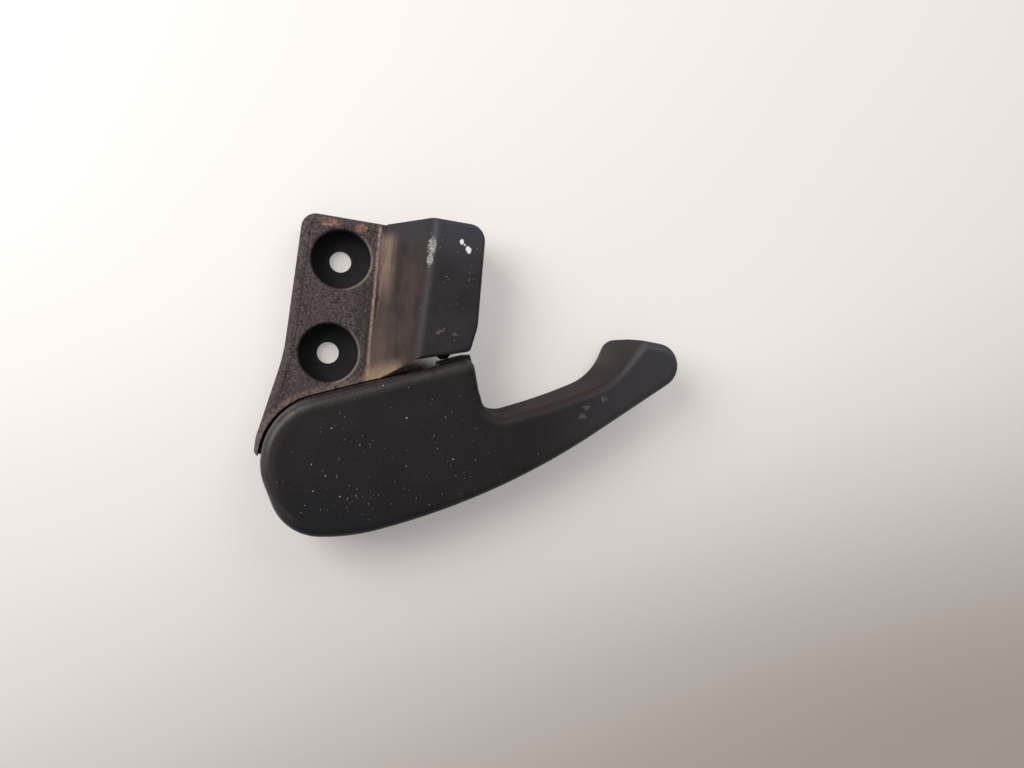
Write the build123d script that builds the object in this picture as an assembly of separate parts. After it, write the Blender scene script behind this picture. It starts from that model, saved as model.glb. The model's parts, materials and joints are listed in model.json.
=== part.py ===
from build123d import *
from math import acos, atan2, cos, degrees, radians, sin, tan
import os

# Interior hood release handle of a car, lying on its mounting face.
#
# A black moulded bracket is fixed by two deep screw cups. Beside the cups its
# plate climbs a ramp to a raised cover, which is a tunnel for the release cable.
# Below them a moulded pull lever turns on a pivot whose screw, washer and sleeve
# go in from the back, so nothing of it shows from the front. A torsion spring
# swings the lever back against a rubber buffer.
#
# Frame, in millimetres: the origin is midway between the two screw holes on the
# mounting face, +Y runs along the holes, away from the lever, and +Z points out
# of the car body, towards the person who pulls the handle.

# Screw cups
HOLE_SPACING = 30.0
HOLE_R = 3.5
CUP_R = 9.3
CUP_BEVEL = 0.8
CUP_WALL = 2.2
CUP_FLOOR = 2.5

# Bracket plate, seen from the front
LEFT_MARGIN = 13.6
TOP_MARGIN = 13.2
TOP_LEFT_R = 4.6
FLARE_DROP = 2.5
FLARE_OUT = 5.0
FLARE_BEND_R = 60.0
LOBE_RISE = 5.9
LOBE_BEND_R = 12.0
LOBE_DROP = 1.4
LOBE_R = 2.2

# Bracket walls and heights
PLATE_HEIGHT = 12.0
PLATE_WALL = 2.5
SKIRT_WALL = 2.2
RIB_WALL = 1.8
RIB_SETBACK = 1.0
PLATE_ROUND = 2.0
COVER_ROUND = 1.2
FIELD_BORDER = 2.8
FIELD_LEVER_BORDER = 1.0
FIELD_DEPTH = 0.25
FIELD_MARGIN = 1.6

# Ramp and raised cover over the cable
RAMP_START = 12.9
RAMP_RUN = 13.4
RAMP_FOOT_R = 4.0
RAMP_SHOULDER_R = 5.0
COVER_HEIGHT = 26.0
COVER_STEP = 2.6
COVER_WIDTH = 16.2
COVER_TOP_R = 5.2
COVER_LEAN = 1.7
COVER_BEND_R = 12.0
COVER_CORNER_IN = 1.3
COVER_CORNER_RISE = 8.0
COVER_CORNER_R = 1.6
COVER_FOOT_GAP = 1.9
COVER_FOOT_SLOPE = 16.5
COVER_HEEL = 9.5

# Cable way: conduit slot, abutment rib and window towards the lever
CABLE_X = 33.0
CABLE_HEIGHT = 8.5
CONDUIT_R = 3.5
WIRE_SLOT = 3.0
ABUTMENT_DROP = 13.0
WINDOW_WIDTH = 6.0
WINDOW_HEIGHT = 13.0
WINDOW_REACH = 6.0

# Pivot, measured from the lower screw hole
PIVOT_X = 4.3
PIVOT_DROP = 34.0
SLEEVE_R = 4.5
SLEEVE_WALL = 1.8
RUN_CLEARANCE = 0.06
BEARING_R = 7.5
BEARING_TOP = 16.0
AXIAL_PLAY = 0.25
HAT_WALL = 2.0
HAT_ROOF = 2.5
WASHER_R = 8.5
WASHER_THICK = 1.2
WASHER_ROOM = 1.0
SCREW_R = 2.5
SCREW_LENGTH = 16.4
SCREW_CLEARANCE = 0.05
SCREW_HEAD_R = 4.6
SCREW_HEAD_THICK = 3.0
HEAD_RECESS = 1.1
DRIVE_R = 2.6
DRIVE_SLOT = 0.9
DRIVE_DEPTH = 1.6

# Base under the lever
BASE_THICK = 2.8
BASE_R = 18.0
BASE_GAP = 0.8
GUSSETS = 5
GUSSET_FIRST = 176.0
GUSSET_STEP = 33.0
GUSSET_TOP = 6.4

# Lever outline: each edge is a line, given by the direction that it faces, in
# degrees, and by its distance from the pivot
HEAD_R = 21.2
UPPER_FACING = 112.0
THROAT_FACING = 18.0
THROAT_DIST = 50.0
ARM_NEAR_FACING = 113.7
ARM_NEAR_DIST = -0.5
ARM_FAR_FACING = 120.0
ARM_FAR_DIST = -8.8
HOOK_FACING = 165.0
HOOK_DIST = -72.0
TIP_FACING = 88.0
TIP_DIST = 55.5
BACK_FACING = -49.9
BACK_DIST = 38.2
BELLY_FACING = -69.1
BELLY_DIST = 23.4
KEEL_FACING = 274.6
KEEL_DIST = 22.1
HEEL_FACING = 208.0
HEEL_DIST = 19.6
LEFT_FACING = 180.0
LEFT_DIST = 20.0

# Lever corner radii, in the same order; the crown is the corner that closes the head
CHIN_R = 3.2
THROAT_R = 9.0
ARM_BEND_R = 195.0
HOOK_R = 20.0
TIP_IN_R = 5.5
TIP_OUT_R = 7.4
BACK_R = 225.0
BELLY_R = 61.0
KEEL_R = 15.8
HEEL_R = 17.8
CROWN_R = 20.0

# Sloped finger wall of the grip: how far its top edge lies behind its foot along the
# arm, and the line of that edge at the hook, where the wall fans out
NEAR_LEAN = 1.2
FAR_LEAN = 1.45
HOOK_TOP_FACING = 145.0
HOOK_TOP_DIST = -48.8
HOOK_TOP_R = 26.0
THROAT_TOP_R = 7.0
FINGER_LIP = 0.3

# Lever shell
LEVER_HEIGHT = 26.0
LEVER_WALL = 2.4
LEVER_ROOF = 2.6
LEVER_ROUND = 3.0
LEVER_GAP = 0.4
LEVER_RIB = 1.7
LEVER_RIB_SETBACK = 1.2
HUB_R = 7.0
HUB_RIBS = 6
HUB_RIB_LOW = 17.2
TRUSS_START = 66.0
TRUSS_PITCH = 10.5
TRUSS_BAYS = 5

# Cable end seat in the lever
SEAT_RISE = 7.0
SEAT_R = 4.1
SEAT_WALL = 2.2
SEAT_DEPTH = 9.0
SKIRT_SLOT = 4.6
SKIRT_SLOT_TOP = 13.0

# End stops
TRAVEL = 40.0
STOP_FACING = 18.0
STOP_IN_R = 12.4
STOP_OUT_R = 17.0
STOP_THICK = 2.4
STOP_TOP = 11.0
STOP_OVERLAP = 5.0
STOP_CLEARANCE = 0.3

# Rest buffer and the nose on the lever that it meets
NOSE_START = 42.0
NOSE_LENGTH = 9.4
NOSE_RISE = 0.8
NOSE_TOP = 20.0
BUFFER_ALONG = 44.4
BUFFER_HEIGHT = 9.0
BUFFER_R = 2.4
BUFFER_DOME = 1.2
BUFFER_STEM_R = 1.5
BUFFER_BARB_R = 2.0
BUFFER_BARB = 1.4
BUFFER_GAP = 0.25

# Return spring
WIRE_R = 0.7
WIRE_SIDES = 6
COIL_R = 9.0
COIL_PITCH = 1.8
COIL_TURNS = 2
LEG_LENGTH = 12.0
LOWER_LEG_FACING = 94.0
UPPER_LEG_FACING = 116.0
SPRING_GAP = 0.3
CATCH_LENGTH = 4.0
CATCH_THICK = 2.4
CATCH_BACK = 1.0
CATCH_RISE = 1.2

# Small shares and reaches: the part of an edge that its corners may use, how far a cut
# runs past what it opens, and what counts as nothing
CUT_SHARE = 0.98
PAST = 1.0
TINY = 1e-6

# Places that follow from the sizes above
FAR = 300.0
HOLE_Y = HOLE_SPACING / 2
PIVOT = Vector(PIVOT_X, -HOLE_Y - PIVOT_DROP)
SHOULDER_X = RAMP_START + RAMP_RUN
COVER_TOP_Y = HOLE_Y + TOP_MARGIN + COVER_STEP
RECESS_R = HEAD_R + LEVER_GAP
LEVER_LOW = BASE_THICK + BASE_GAP
LEVER_CEILING = LEVER_HEIGHT - LEVER_ROOF
SCREW_SEAT = HEAD_RECESS + SCREW_HEAD_THICK
WASHER_TOP = SCREW_SEAT + WASHER_THICK
POCKET_R = WASHER_R + WASHER_ROOM
POCKET_TOP = WASHER_TOP + AXIAL_PLAY
HAT_R = POCKET_R + HAT_WALL
HAT_TOP = POCKET_TOP + HAT_ROOF
SLEEVE_TOP = BEARING_TOP + AXIAL_PLAY
SCREW_TOP = SCREW_SEAT + SCREW_LENGTH
SEAT = Vector(CABLE_X, PIVOT.Y + SEAT_RISE)
LOWER_LEG_Z = HAT_TOP + SPRING_GAP + WIRE_R
COIL_ANGLE = 360.0 * COIL_TURNS - (UPPER_LEG_FACING - LOWER_LEG_FACING)
COIL_HEIGHT = COIL_PITCH * COIL_ANGLE / 360
UPPER_LEG_Z = LOWER_LEG_Z + COIL_HEIGHT

LEVER_EDGES = [
    (UPPER_FACING, HEAD_R),
    (THROAT_FACING, THROAT_DIST),
    (ARM_NEAR_FACING, ARM_NEAR_DIST),
    (ARM_FAR_FACING, ARM_FAR_DIST),
    (HOOK_FACING, HOOK_DIST),
    (TIP_FACING, TIP_DIST),
    (BACK_FACING, BACK_DIST),
    (BELLY_FACING, BELLY_DIST),
    (KEEL_FACING, KEEL_DIST),
    (HEEL_FACING, HEEL_DIST),
    (LEFT_FACING, LEFT_DIST),
]
LEVER_RADII = [
    CHIN_R,
    THROAT_R,
    ARM_BEND_R,
    HOOK_R,
    TIP_IN_R,
    TIP_OUT_R,
    BACK_R,
    BELLY_R,
    KEEL_R,
    HEEL_R,
    CROWN_R,
]


def toward(facing):
    """The unit vector in a direction given in degrees."""
    return Vector(cos(radians(facing)), sin(radians(facing)))


def polar(facing, dist):
    """The point at a distance from the pivot, in a direction given in degrees."""
    return PIVOT + toward(facing) * dist


def crossing(line_a, line_b):
    """Where two lines meet, each given by its facing and its distance from the pivot."""
    (facing_a, dist_a), (facing_b, dist_b) = line_a, line_b
    turn = sin(radians(facing_b - facing_a))
    x = dist_a * sin(radians(facing_b)) - dist_b * sin(radians(facing_a))
    y = dist_b * cos(radians(facing_a)) - dist_a * cos(radians(facing_b))
    return PIVOT + Vector(x, y) * (1 / turn)


def upper_line_y(x, dist):
    """The height at x of the line beside the lever's upper edge, at a distance from the pivot."""
    facing = toward(UPPER_FACING)
    return PIVOT.Y + (dist - (x - PIVOT.X) * facing.X) / facing.Y


def directions(points, i):
    """The directions in which the edges before and after a corner run."""
    before = (points[i] - points[i - 1]).normalized()
    after = (points[(i + 1) % len(points)] - points[i]).normalized()
    return before, after


def rounded(points, radii):
    """A face with these corners, each rounded by its radius, or by less where its edges are short."""
    count = len(points)
    turns = []
    cuts = []
    for i in range(count):
        before, after = directions(points, i)
        turns.append(acos(max(-1.0, min(1.0, before.dot(after)))))
        cuts.append(radii[i] * tan(turns[i] / 2))
    for i in range(count):
        j = (i + 1) % count
        room = CUT_SHARE * (points[j] - points[i]).length
        share = min(1.0, room / max(cuts[i] + cuts[j], TINY))
        cuts[i] *= share
        cuts[j] *= share
    edges = []
    for i in range(count):
        before, after = directions(points, i)
        start = points[i] - before * cuts[i]
        end = points[i] + after * cuts[i]
        if cuts[i] > TINY:
            radius = cuts[i] / tan(turns[i] / 2)
            bulge = radius / cos(turns[i] / 2) - radius
            edges.append(ThreePointArc(start, points[i] + (after - before).normalized() * bulge, end))
        j = (i + 1) % count
        edges.append(Line(end, points[j] - after * cuts[j]))
    return make_face(Wire(edges))


def outline(points, radii, wall=0.0):
    """A clockwise outline with rounded corners, moved inwards by the thickness of a wall."""
    moved = []
    bends = []
    for i, point in enumerate(points):
        before, after = directions(points, i)
        inward = Vector(before.Y, -before.X) + Vector(after.Y, -after.X)
        moved.append(point + inward * (wall / (1 + before.dot(after))))
        outer = before.cross(after).Z < 0
        bends.append(max(radii[i] - wall, 0.0) if outer else radii[i] + wall)
    return rounded(moved, bends)


def slab(sketch, low, high):
    """A flat face pulled straight up from one height to another."""
    return extrude(Pos(0, 0, low) * sketch, amount=high - low)


def post(centre, radius, low, high):
    """A round post between two heights."""
    return slab(Pos(centre.X, centre.Y) * Circle(radius), low, high)


def bar(start, end, width, low, high):
    """A straight wall of a given width between two points and two heights."""
    along = end - start
    middle = (start + end) * 0.5
    place = Pos(middle.X, middle.Y) * Rot(0, 0, degrees(atan2(along.Y, along.X)))
    return slab(place * Rectangle(along.length, width), low, high)


def cup_centres():
    """The places of the two screws, from the lower to the upper one."""
    return [Vector(0, -HOLE_Y), Vector(0, HOLE_Y)]


def cover_foot_corner():
    """The lower right corner of the raised cover, a small gap away from the lever."""
    x = SHOULDER_X + COVER_WIDTH + COVER_LEAN - COVER_CORNER_IN
    return Vector(x, upper_line_y(x, HEAD_R + COVER_FOOT_GAP))


def bracket_plan(wall=0.0):
    """The bracket seen from the front, before the room for the lever is taken out."""
    left = -LEFT_MARGIN
    top = HOLE_Y + TOP_MARGIN
    low = PIVOT.Y - LOBE_DROP
    lobe = left - FLARE_OUT
    cover_right = SHOULDER_X + COVER_WIDTH
    corner = cover_foot_corner()
    foot_left = corner - toward(COVER_FOOT_SLOPE) * ((corner.X - SHOULDER_X) / cos(radians(COVER_FOOT_SLOPE)))
    heel_x = SHOULDER_X - COVER_HEEL
    corners = [
        (Vector(lobe, low), LOBE_R),
        (Vector(lobe, low + LOBE_RISE), LOBE_BEND_R),
        (Vector(left, -HOLE_Y - FLARE_DROP), FLARE_BEND_R),
        (Vector(left, top), TOP_LEFT_R),
        (Vector(RAMP_START, top), 0.0),
        (Vector(SHOULDER_X, COVER_TOP_Y), 0.0),
        (Vector(cover_right, COVER_TOP_Y), COVER_TOP_R),
        (Vector(cover_right + COVER_LEAN, corner.Y + COVER_CORNER_RISE), COVER_BEND_R),
        (corner, COVER_CORNER_R),
        (foot_left, 0.0),
        (Vector(heel_x, upper_line_y(heel_x, RECESS_R)), 0.0),
        (Vector(heel_x, low), 0.0),
    ]
    return outline([point for point, _ in corners], [radius for _, radius in corners], wall)


def head_room(wall=0.0):
    """The plan of the room that the lever turns in: round its head and below its upper edge."""
    edge = RECESS_R + wall
    along = toward(UPPER_FACING - 90) * FAR
    touch = polar(UPPER_FACING, edge)
    below = polar(UPPER_FACING, -FAR)
    right = Polyline(touch, touch + along, below + along, below, close=True)
    return make_face(right) + Pos(PIVOT.X, PIVOT.Y) * Circle(edge)


def height_profile(wall=0.0):
    """Everything under the plate, the ramp and the cover face, or under the inside of their wall."""
    corners = [
        (Vector(-FAR, -FAR), 0.0),
        (Vector(-FAR, PLATE_HEIGHT), 0.0),
        (Vector(RAMP_START, PLATE_HEIGHT), RAMP_FOOT_R),
        (Vector(SHOULDER_X, COVER_HEIGHT), RAMP_SHOULDER_R),
        (Vector(FAR, COVER_HEIGHT), 0.0),
        (Vector(FAR, -FAR), 0.0),
    ]
    face = outline([point for point, _ in corners], [radius for _, radius in corners], wall)
    return extrude(Rot(90, 0, 0) * face, amount=FAR / 2, both=True)


def top_rounded(plan, height, radius):
    """A plan pulled up from the mounting face, with the edge round its top face rounded."""
    solid = slab(plan, 0, height)
    return fillet(solid.faces().sort_by(Axis.Z)[-1].edges(), radius)


def bracket_form():
    """The bracket as a full body: the plate, and the ramp and cover that rise beside it."""
    right = Pos(RAMP_START + FAR / 2, 0) * Rectangle(FAR, FAR)
    plate = top_rounded(bracket_plan(), PLATE_HEIGHT, PLATE_ROUND)
    cover = top_rounded(bracket_plan() & right, COVER_HEIGHT, COVER_ROUND)
    return plate + (cover & height_profile()) - slab(head_room(), -PAST, COVER_HEIGHT + PAST)


def bracket_hollow():
    """The room behind the plate, the ramp and the cover, inside their walls."""
    inside = slab(bracket_plan(SKIRT_WALL) - head_room(SKIRT_WALL), -PAST, COVER_HEIGHT)
    return inside & height_profile(PLATE_WALL)


def field():
    """The shallow grained panel sunk into the plate, inside its smooth border."""
    panel = bracket_plan(FIELD_BORDER) - head_room(FIELD_LEVER_BORDER)
    right = RAMP_START - FIELD_MARGIN
    reach = Pos(right - FAR / 2, 0) * Rectangle(FAR, FAR)
    return slab(panel & reach, PLATE_HEIGHT - FIELD_DEPTH, PLATE_HEIGHT + PAST)


def cups():
    """The walls of the two screw cups, with a flange floor at the mounting face."""
    return [post(centre, CUP_R + CUP_WALL, 0, PLATE_HEIGHT - FIELD_DEPTH) for centre in cup_centres()]


def cup_hollows():
    """What the cups leave open: the well, the bevel at its mouth and the screw hole."""
    hollows = []
    for centre in cup_centres():
        mouth = PLATE_HEIGHT - CUP_BEVEL
        bevel = Cone(CUP_R, CUP_R + 2 * CUP_BEVEL, 2 * CUP_BEVEL)
        hollows.append(post(centre, CUP_R, CUP_FLOOR, COVER_HEIGHT))
        hollows.append(Pos(centre.X, centre.Y, mouth + CUP_BEVEL) * bevel)
        hollows.append(post(centre, HOLE_R, -PAST, CUP_FLOOR + PAST))
    return hollows


def back_ribs():
    """The ribs behind the plate and the wall that closes the cable tunnel off from it."""
    lower, upper = cup_centres()
    tunnel_x = SHOULDER_X - SKIRT_WALL
    ribs = [bar(lower, upper, RIB_WALL, RIB_SETBACK, PLATE_HEIGHT)]
    for centre in (lower, upper):
        start = Vector(-FAR, centre.Y)
        end = Vector(tunnel_x, centre.Y)
        ribs.append(bar(start, end, RIB_WALL, RIB_SETBACK, COVER_HEIGHT))
    tunnel_low = upper_line_y(tunnel_x, RECESS_R)
    ribs.append(bar(Vector(tunnel_x, tunnel_low), Vector(tunnel_x, FAR), RIB_WALL, RIB_SETBACK, COVER_HEIGHT))
    ribs.append(bar(lower, PIVOT, RIB_WALL, RIB_SETBACK, PLATE_HEIGHT))
    return ribs


def abutment():
    """The rib across the cable tunnel that the cable's casing pushes against, slotted for the wire."""
    y = COVER_TOP_Y - ABUTMENT_DROP
    left = Vector(SHOULDER_X - SKIRT_WALL, y)
    wall = bar(left, Vector(FAR, y), RIB_WALL, 0, COVER_HEIGHT)
    slot = Pos(CABLE_X, y, 0) * Box(WIRE_SLOT, 3 * RIB_WALL, 2 * CABLE_HEIGHT + WIRE_SLOT)
    return wall - slot


def cable_openings():
    """The slot for the conduit at the top of the cover and the wire's window at its foot."""
    top = Vector(CABLE_X, COVER_TOP_Y)
    depth = 3 * SKIRT_WALL
    arch = Pos(top.X, top.Y, CABLE_HEIGHT) * Rot(90, 0, 0) * Cylinder(CONDUIT_R, depth)
    throat = bar(top - Vector(0, depth / 2), top + Vector(0, depth / 2), 2 * CONDUIT_R, -PAST, CABLE_HEIGHT)
    foot = Vector(CABLE_X, upper_line_y(CABLE_X, HEAD_R + COVER_FOOT_GAP))
    reach = Vector(0, WINDOW_REACH)
    window = bar(foot - reach, foot + reach, WINDOW_WIDTH, -PAST, WINDOW_HEIGHT)
    return [arch, throat, window]


def base():
    """The floor under the lever head, with gussets round the hat that the pivot stands on."""
    plan = (bracket_plan() & head_room(SKIRT_WALL)) + Pos(PIVOT.X, PIVOT.Y) * Circle(BASE_R)
    part = slab(plan, 0, BASE_THICK) + post(PIVOT, HAT_R, 0, HAT_TOP) + post(PIVOT, BEARING_R, 0, BEARING_TOP)
    for i in range(GUSSETS):
        facing = GUSSET_FIRST + i * GUSSET_STEP
        part += bar(polar(facing, BEARING_R), polar(facing, BASE_R - RIB_WALL / 2), RIB_WALL, 0, GUSSET_TOP)
    return part


def leg_contact(facing, turn, along):
    """A point on the outer side of a spring leg that leaves the coil at a facing, some way along it."""
    direction = toward(facing + turn)
    return polar(facing, COIL_R) + direction * along + toward(facing) * (WIRE_R + SPRING_GAP)


def spring_catch():
    """The block on the base that the lower spring leg presses on, with a buttress behind it."""
    start = leg_contact(LOWER_LEG_FACING, 90, LEG_LENGTH - CATCH_LENGTH - CATCH_BACK)
    end = leg_contact(LOWER_LEG_FACING, 90, LEG_LENGTH - CATCH_BACK)
    shift = toward(LOWER_LEG_FACING) * (CATCH_THICK / 2)
    return bar(start + shift, end + shift, CATCH_THICK, 0, LOWER_LEG_Z + WIRE_R + CATCH_RISE)


def travel_stop():
    """The block on the base that stops the lever at the end of its pull."""
    half = degrees(atan2(STOP_THICK / 2, STOP_IN_R))
    gap = degrees(atan2(STOP_CLEARANCE, STOP_IN_R))
    facing = STOP_FACING - TRAVEL - 2 * half - gap
    return bar(polar(facing, STOP_IN_R), polar(facing, STOP_OUT_R), STOP_THICK, 0, STOP_TOP)


def buffer_place():
    """The buffer's axis at the cover's foot: from outside the wall inwards, square to it."""
    touch = polar(UPPER_FACING, HEAD_R + NOSE_RISE) + toward(UPPER_FACING - 90) * BUFFER_ALONG
    corner = cover_foot_corner()
    normal = toward(COVER_FOOT_SLOPE + 90)
    gap = (corner - touch).dot(normal)
    return touch, normal, gap


def buffer_axis(start):
    """A plane at a distance along the buffer's axis, facing into the cover."""
    touch, normal, _ = buffer_place()
    point = touch + normal * start
    return Plane(origin=(point.X, point.Y, BUFFER_HEIGHT), z_dir=(normal.X, normal.Y, 0))


def bracket():
    """The whole moulded bracket."""
    form = bracket_form()
    part = form - bracket_hollow() + base() + spring_catch() + travel_stop()
    for rib in back_ribs() + [abutment()] + cups():
        part += rib & form
    for hollow in cup_hollows() + cable_openings() + [field()]:
        part -= hollow
    _, _, wall_at = buffer_place()
    part -= post(PIVOT, SLEEVE_R + RUN_CLEARANCE, -PAST, BEARING_TOP + PAST)
    part -= post(PIVOT, POCKET_R, -PAST, POCKET_TOP)
    part -= extrude(buffer_axis(wall_at - PAST) * Circle(BUFFER_STEM_R), amount=SKIRT_WALL + 2 * PAST)
    return part


def lever_outline(wall=0.0):
    """The lever's plan at its lower edge, or the inside of its wall."""
    corners = []
    for i in range(len(LEVER_EDGES)):
        corners.append(crossing(LEVER_EDGES[i], LEVER_EDGES[(i + 1) % len(LEVER_EDGES)]))
    return outline(corners, LEVER_RADII, wall)


def finger_side(near, far, hook, bends, wall):
    """The plan of what lies on the finger side of the grip, from the lines of its three edges."""
    throat = (THROAT_FACING, THROAT_DIST + FINGER_LIP)
    past_tip = (TIP_FACING, TIP_DIST + FAR / 2)
    near, far, hook = [(facing, dist - wall) for facing, dist in (near, far, hook)]
    corners = [crossing(near, throat), crossing(throat, past_tip), crossing(past_tip, hook)]
    corners += [crossing(hook, far), crossing(far, near)]
    throat_bend, hook_bend = bends
    return rounded(corners, [throat_bend, 0.0, 0.0, hook_bend, ARM_BEND_R])


def finger_wedge(wall=0.0):
    """What the sloped finger wall leaves free above the grip's finger side."""
    foot = finger_side(
        (ARM_NEAR_FACING, ARM_NEAR_DIST + FINGER_LIP),
        (ARM_FAR_FACING, ARM_FAR_DIST + FINGER_LIP),
        (HOOK_FACING, HOOK_DIST + FINGER_LIP),
        (THROAT_R, HOOK_R),
        wall,
    )
    crest = finger_side(
        (ARM_NEAR_FACING, ARM_NEAR_DIST - NEAR_LEAN),
        (ARM_FAR_FACING, ARM_FAR_DIST - FAR_LEAN),
        (HOOK_TOP_FACING, HOOK_TOP_DIST),
        (THROAT_TOP_R, HOOK_TOP_R),
        wall,
    )
    return loft([Pos(0, 0, LEVER_LOW) * foot, Pos(0, 0, LEVER_HEIGHT) * crest], ruled=True)


def lever_form():
    """The lever as a full body, with its top edge rounded and its finger wall sloped."""
    solid = slab(lever_outline(), LEVER_LOW, LEVER_HEIGHT) - finger_wedge()
    return fillet(solid.faces().sort_by(Axis.Z)[-1].edges(), LEVER_ROUND)


def line_y(line, x):
    """The height at x of an edge line of the lever."""
    facing, dist = line
    normal = toward(facing)
    return PIVOT.Y + (dist - (x - PIVOT.X) * normal.X) / normal.Y


def lever_ribs():
    """The ribs inside the shell: a star round the hub and a zigzag along the arm."""
    walls = []
    for i in range(HUB_RIBS):
        facing = UPPER_FACING + i * 360 / HUB_RIBS
        walls.append(bar(PIVOT, polar(facing, HEAD_R), LEVER_RIB, HUB_RIB_LOW, LEVER_HEIGHT))
    points = []
    for i in range(TRUSS_BAYS + 1):
        x = PIVOT.X + TRUSS_START + i * TRUSS_PITCH
        line = (ARM_NEAR_FACING, ARM_NEAR_DIST) if i % 2 else (BELLY_FACING, BELLY_DIST)
        points.append(Vector(x, line_y(line, x)))
    for start, end in zip(points, points[1:]):
        walls.append(bar(start, end, LEVER_RIB, LEVER_LOW + LEVER_RIB_SETBACK, LEVER_HEIGHT))
    return walls


def cable_seat():
    """The post that holds the cable's end piece, open towards the mounting face."""
    mouth = LEVER_LOW + LEVER_RIB_SETBACK
    tower = post(SEAT, SEAT_R + SEAT_WALL, mouth, LEVER_HEIGHT)
    pocket = post(SEAT, SEAT_R, mouth - PAST, mouth + SEAT_DEPTH)
    return tower, pocket


def wire_way():
    """The slot through the seat and the lever's upper skirt, along the line of the wire."""
    mouth = LEVER_LOW + LEVER_RIB_SETBACK
    edge = Vector(SEAT.X, upper_line_y(SEAT.X, HEAD_R))
    side = bar(SEAT, edge, WIRE_SLOT, LEVER_LOW - PAST, mouth + SEAT_DEPTH)
    reach = Vector(0, LEVER_WALL * 2)
    skirt = bar(edge - reach, edge + reach, SKIRT_SLOT, 0, SKIRT_SLOT_TOP)
    return side + skirt


def nose():
    """The low pad on the lever's upper edge that comes to rest on the buffer."""
    along = toward(UPPER_FACING - 90)
    middle = HEAD_R + (NOSE_RISE - LEVER_WALL) / 2
    start = polar(UPPER_FACING, middle) + along * NOSE_START
    return bar(start, start + along * NOSE_LENGTH, NOSE_RISE + LEVER_WALL, LEVER_LOW, NOSE_TOP)


def lever_stop():
    """The rib under the lever that meets the base's block at the end of the pull."""
    return bar(polar(STOP_FACING, STOP_IN_R), polar(STOP_FACING, STOP_OUT_R), STOP_THICK,
               STOP_TOP - STOP_OVERLAP, LEVER_HEIGHT)


def spring_post():
    """The rib under the lever that the upper spring leg presses on."""
    start = leg_contact(UPPER_LEG_FACING, -90, LEG_LENGTH - CATCH_LENGTH - CATCH_BACK)
    end = leg_contact(UPPER_LEG_FACING, -90, LEG_LENGTH - CATCH_BACK)
    shift = toward(UPPER_LEG_FACING) * (CATCH_THICK / 2)
    return bar(start + shift, end + shift, CATCH_THICK, UPPER_LEG_Z - WIRE_R - CATCH_RISE, LEVER_HEIGHT)


def pull_lever():
    """The whole moulded lever: a shell open at the back, with its hub, ribs and cable seat."""
    form = lever_form()
    hollow = slab(lever_outline(LEVER_WALL), LEVER_LOW - PAST, LEVER_CEILING) - finger_wedge(LEVER_WALL)
    tower, pocket = cable_seat()
    part = form - hollow
    hub = post(PIVOT, HUB_R, SLEEVE_TOP, LEVER_HEIGHT)
    for wall in lever_ribs() + [tower, hub, lever_stop(), spring_post()]:
        part += wall & form
    part += nose()
    part -= pocket
    part -= wire_way()
    return part - post(PIVOT, SCREW_R + SCREW_CLEARANCE, SLEEVE_TOP - PAST, SCREW_TOP + PAST)


def pivot_sleeve():
    """The steel tube that turns with the lever inside the bracket's bearing."""
    bore = SLEEVE_R - SLEEVE_WALL
    ring = Pos(PIVOT.X, PIVOT.Y) * (Circle(SLEEVE_R) - Circle(bore))
    return slab(ring, WASHER_TOP, SLEEVE_TOP)


def pivot_washer():
    """The washer under the bearing that keeps the lever from lifting off."""
    ring = Pos(PIVOT.X, PIVOT.Y) * (Circle(WASHER_R) - Circle(SCREW_R + 2 * SCREW_CLEARANCE))
    return slab(ring, SCREW_SEAT, WASHER_TOP)


def pivot_screw():
    """The pan head screw with a cross drive, put in from the back."""
    head = post(PIVOT, SCREW_HEAD_R, HEAD_RECESS, SCREW_SEAT)
    head = chamfer(head.edges().sort_by(Axis.Z)[0], SCREW_HEAD_THICK / 3)
    shank = post(PIVOT, SCREW_R, SCREW_SEAT, SCREW_TOP)
    shank = chamfer(shank.edges().sort_by(Axis.Z)[-1], SCREW_R / 2)
    low = HEAD_RECESS - PAST
    cross = bar(polar(0, -DRIVE_R), polar(0, DRIVE_R), DRIVE_SLOT, low, HEAD_RECESS + DRIVE_DEPTH)
    cross += bar(polar(90, -DRIVE_R), polar(90, DRIVE_R), DRIVE_SLOT, low, HEAD_RECESS + DRIVE_DEPTH)
    return head + shank - cross


def return_spring():
    """The torsion spring round the bearing: a left-hand coil with a straight leg at each end."""
    place = Pos(PIVOT.X, PIVOT.Y, LOWER_LEG_Z) * Rot(0, 0, LOWER_LEG_FACING)
    coil = place * Helix(COIL_PITCH, COIL_HEIGHT, COIL_R, lefthand=True)
    lower = Line(coil @ 0 - (coil % 0) * LEG_LENGTH, coil @ 0)
    upper = Line(coil @ 1, coil @ 1 + (coil % 1) * LEG_LENGTH)
    path = Wire([lower, coil.edge(), upper])
    section = Plane(origin=path @ 0, z_dir=path % 0) * RegularPolygon(WIRE_R, WIRE_SIDES)
    return sweep(section, path=path, is_frenet=True)


def rest_buffer():
    """The rubber plug in the cover's foot wall that the lever rests on."""
    _, _, wall_at = buffer_place()
    head = extrude(buffer_axis(BUFFER_GAP) * Circle(BUFFER_R), amount=wall_at - BUFFER_GAP)
    head = chamfer(head.edges().sort_by(Axis.Y)[0], BUFFER_DOME)
    stem = extrude(buffer_axis(wall_at) * Circle(BUFFER_STEM_R), amount=SKIRT_WALL + BUFFER_BARB)
    barb_base = buffer_axis(wall_at + SKIRT_WALL)
    barb = barb_base * Pos(0, 0, BUFFER_BARB / 2) * Cone(BUFFER_BARB_R, BUFFER_STEM_R, BUFFER_BARB)
    return head + stem + barb


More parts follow.
